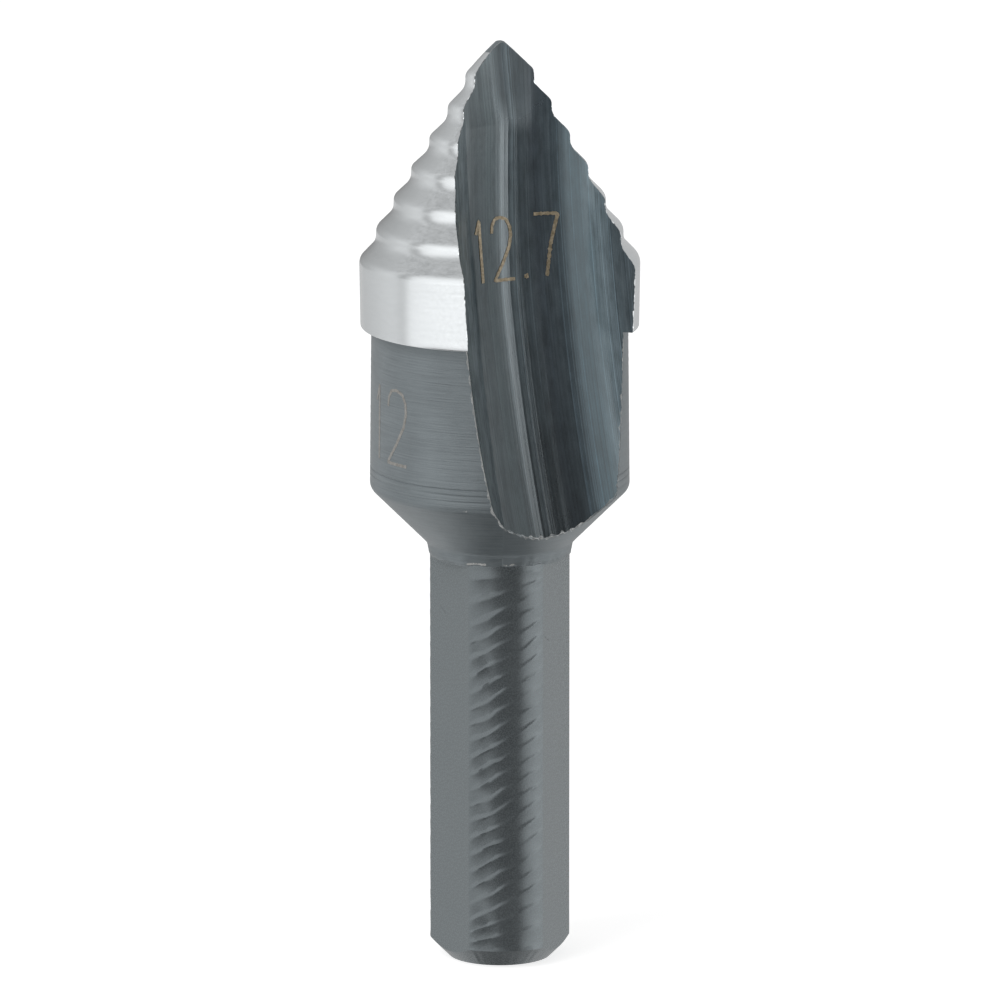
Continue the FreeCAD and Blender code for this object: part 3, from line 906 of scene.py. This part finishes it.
def build_shank():
    """The shank, with the smoother finish of its flats above the chamfer."""
    rings = shank_rings()
    points = np.array([np.c_[r * np.sin(turn), -r * np.cos(turn), h] for turn, h, r in rings])
    columns = points.shape[1]
    faces = np.zeros((len(points) - 1, columns), dtype=int)
    on_flat = np.arange(columns) % (FLAT_COLUMNS + ROUND_COLUMNS) < FLAT_COLUMNS
    faces[:, on_flat] = 1
    faces[:6, :] = 0
    looks = [shank_finish("shank_oxide", (0.083, 0.094, 0.100), (0.125, 0.140, 0.147), 0.6),
             shank_finish("flat_oxide", (0.118, 0.134, 0.140), (0.128, 0.144, 0.150), 0.05)]
    return skin("drill_shank", points, faces, looks, {}, 20)


# The studio's brightness by direction round the drill, in degrees from the front towards +X: at
# the height that vertical walls reflect, at the one that walls leaning back a little reflect,
# and from above.
LOW_BANDS = ((-180, 0.60), (-162, 0.577), (-147, 0.554), (-128, 0.605), (-115, 0.65),
             (-104, 0.69), (-95, 0.69), (-88, 0.60), (-85, 0.66), (-80, 0.94), (-72, 1.0),
             (-64, 1.08), (-56, 1.18), (-35, 1.24), (-18, 1.2), (-6, 0.05), (34, 0.05),
             (46, 1.9), (60, 1.9), (90, 1.0), (136, 0.84), (146, 0.54), (166, 0.54),
             (180, 0.6))
LEVEL_BANDS = ((-180, 0.25), (-170, 0.27), (-160, 0.36), (-150, 0.42), (-136, 0.49),
               (-118, 0.64), (-104, 0.74), (-95, 0.74), (-88, 0.44), (-83, 0.44),
               (-75, 0.96), (-60, 1.06), (-14, 1.04), (2, 0.10), (54, 0.10), (57, 2.3),
               (67, 2.3), (70, 0.5), (180, 0.54))
HIGH_BANDS = ((-180, 0.32), (-160, 0.40), (-145, 0.46), (-131, 0.52), (-120, 0.52),
              (-113, 0.45), (-107, 0.45), (-100, 0.51), (-80, 0.47), (-40, 0.5),
              (-20, 0.4), (0, 0.14), (52, 0.14), (62, 0.5), (180, 0.5))


def studio():
    """World light round the drill: bright front left, dark front right, grey above. The camera
    itself sees white behind the drill."""
    world = bpy.data.worlds.new("studio")
    bpy.context.scene.world = world
    world.use_nodes = True
    look = Look(world.node_tree)
    world.node_tree.nodes.clear()
    x, y, z = look.parts(look.add("ShaderNodeTexCoord").outputs["Generated"])
    turn = look.math("ARCTAN2", x, look.math("MULTIPLY", y, -1.0))
    turn = look.math("ADD", look.math("DIVIDE", turn, 2 * math.pi), 0.5)
    rise = look.math("MULTIPLY_ADD", z, 0.5, 0.5)

    def round_drill(bands):
        return look.grey_ramp(turn, [(degrees / 360 + 0.5, level) for degrees, level in bands])

    low = look.grey_ramp(rise, [(0.413, 1.0), (0.445, 0.0)])
    color = look.blend(low, round_drill(LEVEL_BANDS), round_drill(LOW_BANDS))
    under = look.grey_ramp(rise, [(0.14, 1.0), (0.33, 0.0)])
    color = look.blend(under, color, look.grey_ramp(rise, [(0.02, 0.18), (0.1, 0.8)]))
    front = look.grey_ramp(turn, [(0.29, 0.0), (0.34, 1.0), (0.66, 1.0), (0.71, 0.0)])
    near_floor = look.grey_ramp(rise, [(0.10, 0.0), (0.16, 1.0), (0.29, 1.0), (0.385, 0.0)])
    color = look.blend(look.math("MULTIPLY", front, near_floor), color, (0.06, 0.06, 0.06, 1))
    high = look.grey_ramp(rise, [(0.5, 0.0), (0.6, 0.2), (0.8, 0.8), (0.92, 1.0)])
    color = look.blend(high, color, round_drill(HIGH_BANDS))
    rays = look.add("ShaderNodeLightPath")
    color = look.blend(rays.outputs["Is Camera Ray"], color, (1, 1, 1, 1))
    background = look.add("ShaderNodeBackground", {"Color": color, "Strength": 1.0})
    output = look.add("ShaderNodeOutputWorld")
    look.put(output.inputs[0], background.outputs[0])


def floor():
    """A white floor that keeps the drill's shadow."""
    mesh = bpy.data.meshes.new("floor")
    half = 3.0
    mesh.from_pydata([(-half, -half, 0), (half, -half, 0), (half, half, 0), (-half, half, 0)],
                     [], [(0, 1, 2, 3)])
    made, _, shader = material("floor_white")
    shader.inputs["Base Color"].default_value = (0.6, 0.6, 0.6, 1)
    shader.inputs["Roughness"].default_value = 1.0
    shader.inputs["Specular IOR Level"].default_value = 0.0
    shader.inputs["Emission Color"].default_value = (1, 1, 1, 1)
    shader.inputs["Emission Strength"].default_value = 0.75
    mesh.materials.append(made)
    piece = link("floor", mesh)
    piece.visible_diffuse = False
    piece.visible_glossy = False


def lamp():
    """One soft lamp, front left and above, aimed at the middle of the drill."""
    light = bpy.data.lights.new("key", "AREA")
    light.shape = "RECTANGLE"
    light.size = light.size_y = 0.3
    light.energy = 1.5
    piece = link("key", light)
    place, target = Vector((-0.35, -0.35, 0.55)), Vector((0, 0, 0.02))
    piece.location = place
    piece.rotation_euler = (place - target).to_track_quat("Z", "Y").to_euler()
    piece.visible_glossy = False


def camera():
    """At the photograph's height and distance, straight in front."""
    data = bpy.data.cameras.new("camera")
    data.lens = 508.5
    data.sensor_width = 36.0
    data.clip_start, data.clip_end = 0.01, 10.0
    piece = link("camera", data)
    rise, distance = math.radians(12.62), 0.64
    aim = np.array([0.01, 0.0, 21.166]) * MM
    piece.location = aim + distance * np.array([0, -math.cos(rise), math.sin(rise)])
    piece.rotation_euler = (math.radians(90) - rise, 0, 0)
    bpy.context.scene.camera = piece


for build_piece in (build_head, build_shank, build_size_mark, build_body_mark):
    made_piece = build_piece()
    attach(made_piece, "root")
    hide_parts("step_drill")

studio()
floor()
lamp()
camera()

bpy.context.scene.view_settings.view_transform = "Standard"
